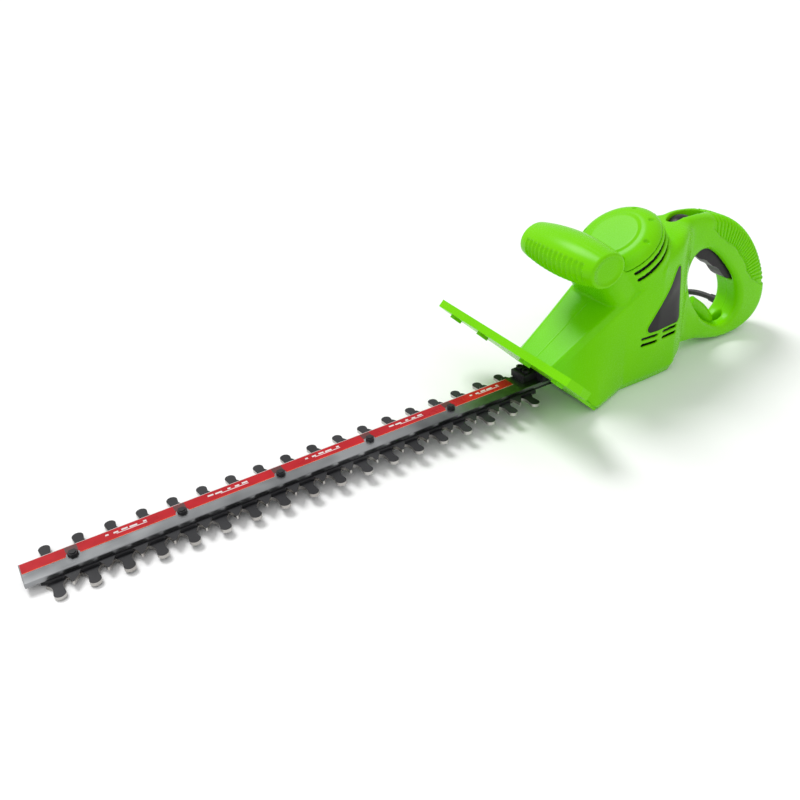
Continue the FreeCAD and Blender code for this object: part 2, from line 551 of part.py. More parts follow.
def build_motor():
    """Series motor standing in the tower: field, armature, commutator, fan, pinion, brushes."""
    shaft = rod(3.0, 7.5, 104.0, MOTOR_X)
    pinion = gear(PINION_TEETH, 8.0, 16.0, MOTOR_X, 2.9, math.pi / PINION_TEETH)
    parts["armature_shaft"] = shaft
    parts["pinion"] = pinion.cut(rod(3.0, 0, 30, MOTOR_X))
    core = tube(16.2, 3.0, 42.0, 74.0, MOTOR_X)
    grooves = [block((MOTOR_X + 12.2, MOTOR_X + 17), (-0.9, 0.9), (41, 75)) for i in range(12)]
    for i, groove in enumerate(grooves):
        groove.rotate(Vector(MOTOR_X, 0, 0), Z, 30.0 * i)
    parts["armature_core"] = core.cut(fuse(grooves))
    windings = [tube(13.5, 3.0, z0, z0 + 5.5, MOTOR_X) for z0 in (36.5, 74.0)]
    parts["armature_windings"] = Part.makeCompound(windings)
    parts["commutator"] = tube(9.5, 3.0, 82.0, 94.0, MOTOR_X)
    disc = tube(21.5, 3.0, 29.5, 31.0, MOTOR_X)
    vanes = [block((MOTOR_X + 8, MOTOR_X + 21), (-0.7, 0.7), (31.0, 35.5)) for i in range(12)]
    for i, vane in enumerate(vanes):
        vane.rotate(Vector(MOTOR_X, 0, 0), Z, 30.0 * i)
    parts["cooling_fan"] = fuse([disc, tube(6.5, 3.0, 27.5, 31.0, MOTOR_X)] + vanes)
    flats = block((MOTOR_X - 26, MOTOR_X + 22.5), (-26, 26), (0, 100))
    parts["field_core"] = tube(26.0, 17.2, 42.0, 74.0, MOTOR_X).common(flats)
    sides = block((MOTOR_X - 18, MOTOR_X + 18), (-30, 30), (0, 100))
    coils = [tube(23.5, 18.0, z0, z0 + 6.0, MOTOR_X).common(sides) for z0 in (36.0, 74.0)]
    parts["field_coils"] = Part.makeCompound([s for c in coils for s in c.Solids])
    parts["lower_bearing"] = tube(8.0, 3.04, 18.2, 23.0, MOTOR_X)
    parts["upper_bearing"] = tube(8.0, 3.04, 97.5, 103.5, MOTOR_X)
    bridge = block((MOTOR_X - 12, MOTOR_X + 12), (-30, 30), (96.5, 104.0)).cut(rod(8.0, 80, 120, MOTOR_X))
    legs = [block((MOTOR_X - 5, MOTOR_X + 5), y, (80.2, 96.5)) for y in ((25.5, 30), (-30, -25.5))]
    parts["bearing_bridge"] = fuse([bridge] + legs)
    brush = block((MOTOR_X - 3, MOTOR_X + 3), (9.6, 18.5), (84.5, 91.5))
    parts["carbon_brushes"] = Part.makeCompound(both_sides(brush))
    sleeve = block((MOTOR_X - 4.5, MOTOR_X + 4.5), (11.5, 25.4), (82.5, 93.5))
    sleeve = sleeve.cut(block((MOTOR_X - 3, MOTOR_X + 3), (0, 24), (84.5, 91.5)))
    parts["brush_holders"] = Part.makeCompound(both_sides(sleeve))


# ---- controls ----
def to_switch(shape):
    """Moves a shape drawn about the origin to the switch, with Z pointing out of the handle."""
    shape.Placement = Placement(SWITCH, Rotation(Y, SWITCH_TURN)).multiply(shape.Placement)
    return shape


def torsion_spring():
    """Spring wound round the trigger's pin, with one leg up to the handle's roof."""
    helix = Part.Wire(Part.makeHelix(1.1, 3.3, 3.1).Edges)
    coil = helix.makePipeShell([round_section(0.45, Vector(3.1, 0, 0), Y)], True, True)
    leg = Part.makeCylinder(0.45, 12.5, Vector(3.1, -0.2, 3.3), Y)
    spring = coil.fuse(leg)
    spring.Placement = Placement(TRIGGER_PIVOT + Y * (TRIGGER_HALF + 4.3), Rotation(X, 90))
    return spring


def build_trigger():
    """Trigger with finger waves, its pivot pin and torsion spring, and the switch it works."""
    front = [(-646.5, 83), (-652, 78.2), (-657, 75.2), (-661.5, 73.6), (-666, 71.4), (-671.5, 66.5),
             (-677, 62.2), (-682, 60), (-687, 56), (-691, 51), (-696, 45.8), (-702, 41.5), (-709, 42.5)]
    back = [(-714, 50), (-703, 63), (-693, 74.5), (-682, 84), (-670, 92.5), (-659, 100), (-648, 99.5)]
    body = side_slab(front + back, -TRIGGER_HALF, TRIGGER_HALF)
    parts["trigger"] = body.cut(cross_rod(2.04, TRIGGER_PIVOT.x, TRIGGER_PIVOT.z, -20, 20))
    parts["trigger_pin"] = cross_rod(2.0, TRIGGER_PIVOT.x, TRIGGER_PIVOT.z, -16.0, 16.0)
    parts["trigger_spring"] = torsion_spring()
    case = block((-13, 13), (-8, 8), (-6, 5.4)).cut(block((-2.6, 2.6), (-2.6, 2.6), (-7, 3)))
    terminals = [block((x - 1.6, x + 1.6), (-0.5, 0.5), (5.4, 7.5)) for x in (-9, 9)]
    parts["switch_body"] = to_switch(case.fuse(terminals))
    parts["switch_plunger"] = to_switch(block((-2.3, 2.3), (-2.3, 2.3), (-15.6, -4.6)))


def build_lock_button():
    """Thumb button of the lock-off: a dome in the recess, on a slider held under its floor."""
    x = RECESS_X + 6.5
    dome = Part.makeSphere(17, Vector(x, 0, 108.3)).common(plan_slab(oval(x, 15, 7.4), 111.4, 130))
    stem = block((x - 3, x + 7), (-3, 3), (104, 112))
    slider = block((x - 6, x + 10), (-7, 7), (104.5, 108.1))
    parts["lock_button"] = fuse([dome, stem, slider])


def build_labels(outer):
    """Dark triangular side labels, a thin layer on the outside of each shell."""
    corners = [(-595.5, 98.5), (-592.5, 96), (-556.5, 40.5), (-557, 36.5), (-560.5, 35.5), (-601, 34.6),
               (-604.5, 38), (-599, 96)]
    layer = body_form(-0.4).cut(outer)
    for side, (y0, y1) in (("left", (20, 60)), ("right", (-60, -20))):
        parts["side_label_" + side] = biggest(layer.common(side_slab(corners, y0, y1)))


def build_screws():
    screws = []
    for x, z, reach in HOUSING_SCREWS:
        shank = cross_rod(1.5, x, z, -reach + 4, 8)
        head = cross_rod(3.1, x, z, -reach + 2.6, -reach + 5)
        slots_cut = [block((x - 2, x + 2), (-reach + 2, -reach + 3.8), (z - 0.4, z + 0.4)),
                     block((x - 0.4, x + 0.4), (-reach + 2, -reach + 3.8), (z - 2, z + 2))]
        screws.append(shank.fuse(head).cut(fuse(slots_cut)))
    parts["housing_screws"] = Part.makeCompound(screws)


# ---- power lead ----
# plan headings of the lead's route, degrees from +X, with the length of each run
LEAD_RUNS = [(-90, 20), (-65, 20), (-38, 21), (-12, 22), (3, 24), (9, 26), (6, 26), (2, 22)]
LEAD_DROP = [0.0, 0.0, 5.5, 12.0]     # how far the first points hang below the exit
PLUG_RISE = [2.2, 4.4, 4.4]           # how far the last points rise to the plug's middle


def lead_route():
    """Corners of the lead's path: out of the strain relief, down to the floor and forward."""
    x, y = EXIT.x, EXIT.y - RELIEF_LENGTH
    points = []
    for i in range(len(LEAD_RUNS) + 1):
        z = floor_z(x) + CORD_R + 0.15
        if i < len(LEAD_DROP):
            z = max(z, EXIT.z - LEAD_DROP[i])
        if i > len(LEAD_RUNS) - len(PLUG_RISE):
            z += PLUG_RISE[i - len(LEAD_RUNS) - 1]
        points.append(Vector(x, y, z))
        if i < len(LEAD_RUNS):
            heading, run = LEAD_RUNS[i]
            x += run * math.cos(math.radians(heading))
            y += run * math.sin(math.radians(heading))
    return points


def rounded_path(points):
    """Straight runs joined by tangent arcs, each as large as its two runs allow."""
    edges, start = [], points[0]
    for before, corner, after in zip(points, points[1:], points[2:]):
        u, v = (corner - before).normalize(), (after - corner).normalize()
        cut = 0.45 * min((corner - before).Length, (after - corner).Length)
        first, last = corner - u * cut, corner + v * cut
        half_turn = u.getAngle(v) / 2
        radius = cut / math.tan(half_turn)
        inward = (v - u).normalize()
        middle = corner + inward * (radius / math.cos(half_turn) - radius)
        print("lead bend radius %.0f" % radius)
        edges += [Part.LineSegment(start, first).toShape(), Part.Arc(first, middle, last).toShape()]
        start = last
    edges.append(Part.LineSegment(start, points[-1]).toShape())
    return Part.Wire(edges)


def round_section(radius, place, direction):
    return Part.Wire(Part.makeCircle(radius, place, direction))


def build_lead():
    """Short lead with its strain relief and two-blade plug, lying beside the handle."""
    route = lead_route()
    path = rounded_path(route)
    lead = path.makePipeShell([round_section(CORD_R, route[0], route[1] - route[0])], True, False)
    parts["power_lead"] = lead
    ideal = math.pi * CORD_R ** 2 * path.Length
    print("lead length %.1f, volume ratio %.3f" % (path.Length, lead.Volume / ideal))
    relief = Part.makeCone(5.4, CORD_R + 1.0, RELIEF_LENGTH, EXIT, Vector(0, -1, 0))
    collar = cross_rod(6.6, EXIT.x, EXIT.z, EXIT.y + 4.0, EXIT.y + 6.0)
    root = cross_rod(5.4, EXIT.x, EXIT.z, EXIT.y, EXIT.y + 4.0)
    parts["strain_relief"] = fuse([relief, root, collar])
    end, aim = route[-1], (route[-1] - route[-2]).normalize()
    turn = Rotation(X, aim)
    body = Part.makeCone(4.4, 7.4, 16, Vector(0, 0, 0), X)
    head = block((16, 38), (-12, 12), (-7.5, 7.5))
    head = head.makeFillet(3.0, [e for e in head.Edges if abs(e.tangentAt(e.FirstParameter).x) > 0.9])
    blades = [block((38, 54), (y - 0.75, y + 0.75), (-3.2, 3.2)) for y in (-6.35, 6.35)]
    parts["plug_body"] = body.fuse(head)
    parts["plug_blades"] = Part.makeCompound(blades)
    for name in ("plug_body", "plug_blades"):
        parts[name].Placement = Placement(end, turn)


# ---- assembly ----
def build_all():
    build_cutter()
    build_clamp()
    build_guard()
    outer = build_housing()
    build_labels(outer)
    build_hook()
    build_cap()
    build_grip()
    build_gearbox()
    build_gear()
    build_motor()
    build_trigger()
    build_lock_button()
    build_screws()
    build_lead()


def nose_down():
    """The turn that stands sole and bar tip on one level floor."""
    return Placement(Vector(0, 0, 0), Rotation(Y, NOSE_DOWN))


def base_shift():
    """Moves the centre of the base, cord left out, to the origin."""
    box = FreeCAD.BoundBox()
    for name, shape in parts.items():
        if name not in CORD_PARTS:
            box.add(shape.transformed(nose_down().toMatrix(), True).optimalBoundingBox(True, False))
    return Vector(-(box.XMin + box.XMax) / 2, -(box.YMin + box.YMax) / 2, -box.ZMin)


def save_all():
    os.makedirs("parts", exist_ok=True)
    shift = base_shift()
    move = Placement(shift, Rotation(Y, NOSE_DOWN)).toMatrix()
    for name, shape in parts.items():
        shape.transformed(move, True).exportStep("parts/" + name + ".step")
    print("origin shift", shift)


build_all()
save_all()
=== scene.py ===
"""Corded hedge trimmer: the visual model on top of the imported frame.

The tool is drawn in its cutter's frame, whose axes TOOL turns into the row frame: X forward along
the blades from the first long tooth, Y to the tool's left, Z up from the plane where they meet.
"""
import json
import math
import bmesh
import bpy
from mathutils import Matrix, Vector
from mathutils.bvhtree import BVHTree


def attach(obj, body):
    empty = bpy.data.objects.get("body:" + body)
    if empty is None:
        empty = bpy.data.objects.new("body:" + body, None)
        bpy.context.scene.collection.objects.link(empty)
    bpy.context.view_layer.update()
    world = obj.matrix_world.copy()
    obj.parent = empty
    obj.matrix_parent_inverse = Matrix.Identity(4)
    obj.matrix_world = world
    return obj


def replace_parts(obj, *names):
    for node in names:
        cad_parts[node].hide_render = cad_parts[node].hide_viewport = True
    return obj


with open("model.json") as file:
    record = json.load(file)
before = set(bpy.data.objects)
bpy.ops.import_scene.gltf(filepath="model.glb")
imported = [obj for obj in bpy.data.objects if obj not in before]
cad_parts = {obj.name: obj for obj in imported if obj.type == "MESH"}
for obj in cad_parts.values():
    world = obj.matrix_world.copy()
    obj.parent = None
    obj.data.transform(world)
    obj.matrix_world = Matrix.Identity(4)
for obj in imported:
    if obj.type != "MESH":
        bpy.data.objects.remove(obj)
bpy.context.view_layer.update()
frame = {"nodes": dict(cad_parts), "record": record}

MM = 0.001
RECORD = frame["record"]
JOINTS = {j["name"]: j for j in RECORD["behaviour"]["joints"]}
SLIDE = Vector(JOINTS["lower_blade_slide"]["axis"])
TURN = Matrix.Rotation(math.atan2(-SLIDE.z, SLIDE.x), 4, "Y")
GEAR_AT = Vector((-0.530, 0, 0.010))          # the drive gear's axis in the cutter's frame
SHIFT = Vector(JOINTS["gear_spin"]["pos_m"]) - TURN @ GEAR_AT
TOOL = Matrix.Translation(SHIFT) @ TURN

BAR_TOP = 6.6                                  # the film's underside, mm above the blades' plane
BOLT_X = [-17.5 - 85.0 * i for i in range(5)]
TOWER_TILT = math.radians(32)
TOWER_AT = Vector((-549, 0, 118))              # where the tower's axis meets its rim, mm
TOWER = TOOL @ Matrix.Translation(TOWER_AT * MM) @ Matrix.Rotation(TOWER_TILT, 4, "Y")


# ---- camera ----
def place(x, y, z):
    """A point of the cutter's frame, given in mm, in the row frame."""
    return TOOL @ (Vector((x, y, z)) * MM)


def add_camera():
    """Looks at the tool from its left, in front and above, rolled a little."""
    azimuth, elevation, roll = math.radians(151.034), math.radians(32.215), math.radians(-3.932)
    back = Vector((math.sin(azimuth) * math.cos(elevation), -math.cos(azimuth) * math.cos(elevation),
                   math.sin(elevation)))
    right = Vector((0, 0, 1)).cross(back).normalized()
    axes = Matrix((right, back.cross(right), back)).transposed()
    data = bpy.data.cameras.new("camera")
    data.sensor_width, data.lens = 36.0, 37.98
    data.clip_start, data.clip_end = 0.01, 50
    cam = bpy.data.objects.new("camera", data)
    cam.matrix_world = (Matrix.Translation(place(-4.534, 542.938, 426.237))
                        @ TURN @ axes.to_4x4() @ Matrix.Rotation(roll, 4, "Z"))
    bpy.context.collection.objects.link(cam)
    bpy.context.scene.camera = cam


add_camera()


# ---- materials ----
def new_material(name):
    material = bpy.data.materials.new(name)
    material.use_nodes = True
    nodes, links = material.node_tree.nodes, material.node_tree.links
    return material, nodes, links, nodes["Principled BSDF"]


def noise_node(nodes, links, scale, detail, stretch=(1, 1, 1)):
    """Noise in the object's own coordinates, stretched along an axis where asked."""
    coords = nodes.new("ShaderNodeTexCoord")
    mapping = nodes.new("ShaderNodeMapping")
    mapping.inputs["Scale"].default_value = stretch
    texture = nodes.new("ShaderNodeTexNoise")
    texture.inputs["Scale"].default_value = scale
    texture.inputs["Detail"].default_value = detail
    links.new(coords.outputs["Object"], mapping.inputs["Vector"])
    links.new(mapping.outputs["Vector"], texture.inputs["Vector"])
    return texture


def ramp_node(nodes, links, source, low, high):
    """Blends from the low colour to the high one over the middle of the noise's range."""
    ramp = nodes.new("ShaderNodeValToRGB")
    for element, position, color in zip(ramp.color_ramp.elements, (0.35, 0.65), (low, high)):
        element.position, element.color = position, (*color, 1)
    links.new(source.outputs["Fac"], ramp.inputs["Fac"])
    return ramp


def bump_node(nodes, links, source, strength, distance):
    bump = nodes.new("ShaderNodeBump")
    bump.inputs["Strength"].default_value = strength
    bump.inputs["Distance"].default_value = distance
    links.new(source.outputs["Fac"], bump.inputs["Height"])
    return bump


def rough_range(nodes, links, source, low, high):
    span = nodes.new("ShaderNodeMapRange")
    span.inputs["To Min"].default_value, span.inputs["To Max"].default_value = low, high
    links.new(source.outputs["Fac"], span.inputs["Value"])
    return span


def surface(name, low, high, rough, grain, bump=0.15, metal=0.0, stretch=(1, 1, 1), shine=0.5, depth=0.00012):
    """Two close colours in broad patches, with a fine grain that also varies the roughness."""
    material, nodes, links, shader = new_material(name)
    broad = noise_node(nodes, links, 14.0, 3.0)
    fine = noise_node(nodes, links, grain, 5.0, stretch)
    links.new(ramp_node(nodes, links, broad, low, high).outputs["Color"], shader.inputs["Base Color"])
    links.new(rough_range(nodes, links, fine, *rough).outputs["Result"], shader.inputs["Roughness"])
    links.new(bump_node(nodes, links, fine, bump, depth).outputs["Normal"], shader.inputs["Normal"])
    shader.inputs["Metallic"].default_value = metal
    shader.inputs["Specular IOR Level"].default_value = shine
    return material


def red_film():
    """Printed film: red, with a white line along its right edge and an orange one along its left."""
    material, nodes, links, shader = new_material("red_film")
    coords = nodes.new("ShaderNodeTexCoord")
    split = nodes.new("ShaderNodeSeparateXYZ")
    links.new(coords.outputs["Object"], split.inputs["Vector"])
    bands = nodes.new("ShaderNodeValToRGB")
    bands.color_ramp.interpolation = "CONSTANT"
    across = nodes.new("ShaderNodeMapRange")
    across.inputs["From Min"].default_value, across.inputs["From Max"].default_value = -0.0118, 0.0006
    links.new(split.outputs["Y"], across.inputs["Value"])
    links.new(across.outputs["Result"], bands.inputs["Fac"])
    bands.color_ramp.elements[0].color = (0.72, 0.70, 0.68, 1)
    for position, color in ((0.035, (0.50, 0.008, 0.015, 1)), (0.92, (0.70, 0.06, 0.010, 1))):
        bands.color_ramp.elements.new(position).color = color
    fine = noise_node(nodes, links, 60.0, 3.0)
    worn = ramp_node(nodes, links, fine, (0.82, 0.82, 0.82), (1, 1, 1))
    mix = nodes.new("ShaderNodeMix")
    mix.data_type, mix.blend_type = "RGBA", "MULTIPLY"
    mix.inputs["Factor"].default_value = 1.0
    links.new(bands.outputs["Color"], mix.inputs["A"])
    links.new(worn.outputs["Color"], mix.inputs["B"])
    links.new(mix.outputs["Result"], shader.inputs["Base Color"])
    links.new(rough_range(nodes, links, fine, 0.22, 0.36).outputs["Result"], shader.inputs["Roughness"])
    shader.inputs["Specular IOR Level"].default_value = 0.2
    return material


GREEN = surface("lime_plastic", (0.170, 0.630, 0.0), (0.190, 0.670, 0.0), (0.22, 0.32), 900.0,
                bump=0.10, shine=0.12)
BLACK = surface("black_plastic", (0.012, 0.012, 0.013), (0.020, 0.020, 0.021), (0.42, 0.6), 1400.0,
                bump=0.35)
CHARCOAL = surface("charcoal_plastic", (0.019, 0.017, 0.019), (0.026, 0.023, 0.026), (0.24, 0.36), 900.0,
                   shine=0.15)
RUBBER = surface("cord_rubber", (0.010, 0.010, 0.010), (0.017, 0.017, 0.017), (0.45, 0.62), 1100.0, bump=0.3)
OXIDE = surface("black_oxide", (0.014, 0.014, 0.016), (0.030, 0.030, 0.033), (0.28, 0.5), 700.0, shine=0.25)
GROUND = surface("ground_edge", (0.36, 0.34, 0.32), (0.52, 0.51, 0.49), (0.22, 0.4), 500.0, metal=1.0,
                 stretch=(8, 0.6, 1), bump=0.25)
BRUSHED = surface("brushed_bar", (0.13, 0.135, 0.14), (0.40, 0.41, 0.42), (0.22, 0.42), 420.0, metal=1.0,
                  stretch=(0.05, 2.2, 1), bump=0.3)
ZINC = surface("zinc", (0.46, 0.46, 0.47), (0.6, 0.6, 0.6), (0.3, 0.45), 600.0, metal=1.0)
CAST = surface("cast_metal", (0.36, 0.36, 0.37), (0.5, 0.5, 0.5), (0.45, 0.62), 800.0, metal=1.0, bump=0.5)
IRON = surface("lamination", (0.12, 0.12, 0.13), (0.24, 0.24, 0.24), (0.4, 0.6), 900.0, metal=1.0,
               stretch=(0.1, 0.1, 4), bump=0.5)
COPPER = surface("copper", (0.45, 0.16, 0.07), (0.62, 0.24, 0.1), (0.28, 0.4), 700.0, metal=1.0,
                 stretch=(0.2, 0.2, 4), bump=0.6)
BRONZE = surface("bronze", (0.42, 0.29, 0.12), (0.55, 0.4, 0.18), (0.35, 0.5), 900.0, metal=1.0)
BRASS = surface("brass", (0.62, 0.44, 0.16), (0.74, 0.55, 0.22), (0.18, 0.3), 700.0, metal=1.0)
CARBON = surface("carbon", (0.012, 0.012, 0.012), (0.025, 0.025, 0.025), (0.5, 0.7), 1500.0, bump=0.4)
PRINT = surface("white_print", (0.62, 0.58, 0.57), (0.74, 0.72, 0.71), (0.3, 0.42), 700.0)
# darker red laid on the film as a patch behind each nut
DARK_RED_PATCH = surface("dark_red_patch", (0.075, 0.012, 0.012), (0.11, 0.02, 0.018), (0.3, 0.42), 700.0)
RED_FILM = red_film()

SLOT_MATERIALS = {"green_plastic": GREEN, "black_plastic": BLACK, "trigger_plastic": CHARCOAL,
                  "dark_label": CHARCOAL, "red_label": RED_FILM, "blade_steel": OXIDE, "bar_steel": BRUSHED,
                  "black_steel": OXIDE, "zinc_steel": ZINC, "lamination": IRON, "copper": COPPER,
                  "carbon": CARBON, "bronze": BRONZE, "brass": BRASS, "gearbox_metal": CAST,
                  "cord_rubber": RUBBER}


def dress_nodes():
    """Every CAD node that stays in view gets its slot's finish."""
    for part in RECORD["subparts"]:
        node = frame["nodes"][part["node"]]
        node.data.materials.clear()
        node.data.materials.append(SLOT_MATERIALS[part["material_slot"]])


# ---- mesh helpers ----
def add_piece(name, mesh, material, smooth=True):
    """A piece of the housing, with one material."""
    mesh.materials.clear()
    mesh.materials.append(material)
    if smooth:
        mesh.polygons.foreach_set("use_smooth", [True] * len(mesh.polygons))
    piece = bpy.data.objects.new(name, mesh)
    bpy.context.collection.objects.link(piece)
    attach(piece, "housing")
    return piece


def add_bmesh(bm, name, material, slot, *nodes, smooth=True):
    """Makes a housing piece of a bmesh, standing in for CAD nodes where any are named."""
    bmesh.ops.recalc_face_normals(bm, faces=bm.faces)
    mesh = bpy.data.meshes.new(name)
    bm.to_mesh(mesh)
    bm.free()
    piece = add_piece(name, mesh, material, smooth=smooth)
    if nodes:
        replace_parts(piece, *nodes)


def band(bm, low, high):
    """Quads between two rings."""
    for k in range(len(low)):
        j = (k + 1) % len(low)
        bm.faces.new((low[k], low[j], high[j], high[k]))


def skin(bm, rings):
    """Quads between neighbouring rings, and a cap at each end."""
    for low, high in zip(rings, rings[1:]):
        band(bm, low, high)
    bm.faces.new(list(reversed(rings[0])))
    bm.faces.new(rings[-1])


def closed_skin(bm, rings):
    """Quads between neighbouring rings, and between the last and the first."""
    for low, high in zip(rings, rings[1:] + rings[:1]):
        band(bm, low, high)


def circle(bm, middle, across, up, radius, sides):
    turns = [2 * math.pi * k / sides for k in range(sides)]
    return [bm.verts.new(middle + (across * math.cos(a) + up * math.sin(a)) * radius) for a in turns]


def tube_mesh(bm, points, radius, sides=10):
    """A closed round tube through points, thin at both ends."""
    rings = []
    for i, point in enumerate(points):
        along = (points[min(i + 1, len(points) - 1)] - points[max(i - 1, 0)]).normalized()
        across = along.cross(Vector((0, 1, 0)))
        across = across.normalized() if across.length > 0.1 else along.cross(Vector((0, 0, 1))).normalized()
        size = radius * (0.35 if i in (0, len(points) - 1) else 1.0)
        rings.append(circle(bm, point, across, along.cross(across), size, sides))
    skin(bm, rings)


def loop_mesh(bm, path, radius, sides=8):
    """A round tube along a closed path."""
    rings = []
    for i, point in enumerate(path):
        along = (path[(i + 1) % len(path)] - path[i - 1]).normalized()
        across = along.cross(Vector((0, 1, 0))).normalized()
        rings.append(circle(bm, point, across, along.cross(across), radius, sides))
    closed_skin(bm, rings)


def moulded(name, nodes, voxel, passes):
    """One smooth skin round CAD nodes: a remesh with voxels in mm, then a few smoothing passes."""
    bm = bmesh.new()
    for node in nodes:
        bm.from_mesh(frame["nodes"][node].data)
    mesh = bpy.data.meshes.new(name + "_source")
    bm.to_mesh(mesh)
    bm.free()
    source = bpy.data.objects.new(name + "_source", mesh)
    bpy.context.collection.objects.link(source)
    remesh = source.modifiers.new("remesh", "REMESH")
    remesh.mode, remesh.voxel_size = "VOXEL", voxel * MM
    smooth = source.modifiers.new("smooth", "SMOOTH")
    smooth.factor, smooth.iterations = 0.5, passes
    graph = bpy.context.evaluated_depsgraph_get()
    result = bpy.data.meshes.new_from_object(source.evaluated_get(graph))
    result.name = name
    bpy.data.objects.remove(source)
    return result


def bevelled(node, width, segments=2, angle=35, material_index=-1):
    """Rounds a CAD node's sharp edges without changing its own mesh."""
    bevel = frame["nodes"][node].modifiers.new("bevel", "BEVEL")
    bevel.width, bevel.segments = width * MM, segments
    bevel.limit_method, bevel.angle_limit = "ANGLE", math.radians(angle)
    bevel.harden_normals = False
    bevel.material = material_index


# ---- housing ----
HOLE = (-675.0, 35.0)                          # middle of the hand hole, x and z
SHELL_VOXEL = 1.1                              # the shells' mesh size, mm
SEAM_DEPTH = 0.16                              # how far each half's border is drawn in, mm
# the rib panel's inner edge on the loop's side: angle round the hole in degrees, radius in mm
PANEL_EDGE = [(78, 76), (86, 63), (100, 53), (133, 45), (166, 47), (180, 56), (188, 72)]


def step(value, low, high):
    """Smooth rise from 0 at low to 1 at high."""
    t = min(max((value - low) / (high - low), 0.0), 1.0)
    return t * t * (3 - 2 * t)


def panel_radius(angle):
    """The panel's inner edge at an angle, or far out where there is no panel."""
    for (a0, r0), (a1, r1) in zip(PANEL_EDGE, PANEL_EDGE[1:]):
        if a0 <= angle <= a1:
            return r0 + (r1 - r0) * (angle - a0) / (a1 - a0)
    return 200.0


def panel_depth(x, z):
    """How far, in mm, the rib panel's field lies below the loop's skin."""
    angle = math.degrees(math.atan2(z - HOLE[1], x - HOLE[0])) % 360
    return 1.5 * step(math.hypot(x - HOLE[0], z - HOLE[1]) - panel_radius(angle), 0.0, 1.4)


def sink(mesh, depth):
    """Moves vertices inward along their normals by depth(x, y, z), in mm of the cutter's frame."""
    to_tool = TOOL.inverted()
    moves = []
    for vertex in mesh.vertices:
        at = to_tool @ vertex.co / MM
        down = depth(at.x, at.y, at.z)
        if down:
            moves.append((vertex, vertex.normal * (-down * MM)))
    for vertex, move in moves:
        vertex.co += move


def soften(mesh, wanted, passes):
    """Smooths the chosen part of a mesh, given by a test on a point in mm of the cutter's frame."""
    to_tool = TOOL.inverted()
    bm = bmesh.new()
    bm.from_mesh(mesh)
    chosen = [v for v in bm.verts if wanted(*(to_tool @ v.co / MM))]
    for _ in range(passes):
        bmesh.ops.smooth_vert(bm, verts=chosen, factor=0.5, use_axis_x=True, use_axis_y=True, use_axis_z=True)
    bm.to_mesh(mesh)
    bm.free()
    mesh.update()


def half_of(mesh, name, side):
    """One side's half of a mesh, cut at the middle plane, its border drawn in for a parting line."""
    bm = bmesh.new()
    bm.from_mesh(mesh)
    everything = bm.verts[:] + bm.edges[:] + bm.faces[:]
    bmesh.ops.bisect_plane(bm, geom=everything, dist=1e-6, plane_co=(0, 0, 0), plane_no=(0, side, 0),
                           clear_inner=True)
    bm.normal_update()
    border = [v for v in bm.verts if v.is_boundary]
    for vertex in border:
        vertex.co -= vertex.normal * SEAM_DEPTH * MM
    half = bpy.data.meshes.new(name)
    bm.to_mesh(half)
    bm.free()
    return half


def tower_point(x, y, z):
    """A point of the cutter's frame, in mm, as seen from the tower's rim, with Z along its axis."""
    return Matrix.Rotation(-TOWER_TILT, 3, "Y") @ (Vector((x, y, z)) - TOWER_AT)


def trunk_root(x, y, z):
    """The hollow where the trunk runs into the loop, clear of the openings and pieces round it."""
    vents = z < 38 and x > -604
    recess = abs(y) < 13.5 and x < -600 and z > 102
    at = tower_point(x, y, z)
    tower = math.hypot(at.x, at.y) < 43.5 and at.z > -26
    hole = abs(y) < 15 and x < -628
    return -655 < x < -572 and not (vents or recess or tower or hole)


def build_shells():
    """The two moulded halves of the housing, with soft edges and a parting line between them."""
    whole = moulded("shell", ["housing_left", "housing_right"], SHELL_VOXEL, 5)
    soften(whole, trunk_root, 130)
    sink(whole, lambda x, y, z: panel_depth(x, z) if x < -660 else 0.0)
    for side, name in ((1, "left"), (-1, "right")):
        half = half_of(whole, "shell_" + name, side)
        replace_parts(add_piece("shell_" + name, half, GREEN), "housing_" + name)


def shell_tree():
    """Both shells as one tree for ray casts."""
    bm = bmesh.new()
    for side in ("left", "right"):
        bm.from_mesh(bpy.data.objects["shell_" + side].data)
    tree = BVHTree.FromBMesh(bm)
    bm.free()
    return tree


def in_panel(point, angle):
    """Whether a point on the skin lies outward of the panel's edge at this angle."""
    at = TOOL.inverted() @ point / MM
    return math.hypot(at.x - HOLE[0], at.z - HOLE[1]) > panel_radius(angle) + 0.5


RIB_COUNT, RIB_FIRST, RIB_STEP = 24, 84.0, 4.3   # ribs across the loop, and their angles in degrees
RIB_RADIUS = 1.45
REACH = 60.0                                     # how far off the loop's middle a ray starts, mm


def build_handle_ribs():
    """Round ribs that cross the back of the loop inside the sunken panel."""
    tree = shell_tree()
    bm = bmesh.new()
    for i in range(RIB_COUNT):
        angle = RIB_FIRST + RIB_STEP * i
        out = Vector((math.cos(math.radians(angle)), 0, math.sin(math.radians(angle))))
        middle = Vector((HOLE[0], 0, HOLE[1])) + out * (panel_radius(angle) + 14)
        points = []
        for k in range(-27, 28):
            turn = math.radians(min(max(5 * k, -90), 90))
            ray = out * math.cos(turn) + Vector((0, 1, 0)) * math.sin(turn)
            start = middle + ray * REACH - out * 1.35 * max(abs(k) - 18, 0)
            hit = tree.ray_cast(place(*start), TURN @ -ray)[0]
            if hit and in_panel(hit, angle):
                points.append(hit - TURN @ ray * 0.1 * MM)
        tube_mesh(bm, points, RIB_RADIUS * MM)
    add_bmesh(bm, "handle_ribs", GREEN, "green_plastic")


# the side label's rounded corners in the XZ plane, mm: x, z and corner radius
LABEL_CORNERS = [(-594.0, 101.0, 3.0), (-604.8, 34.2, 5.0), (-553.5, 35.8, 5.0)]


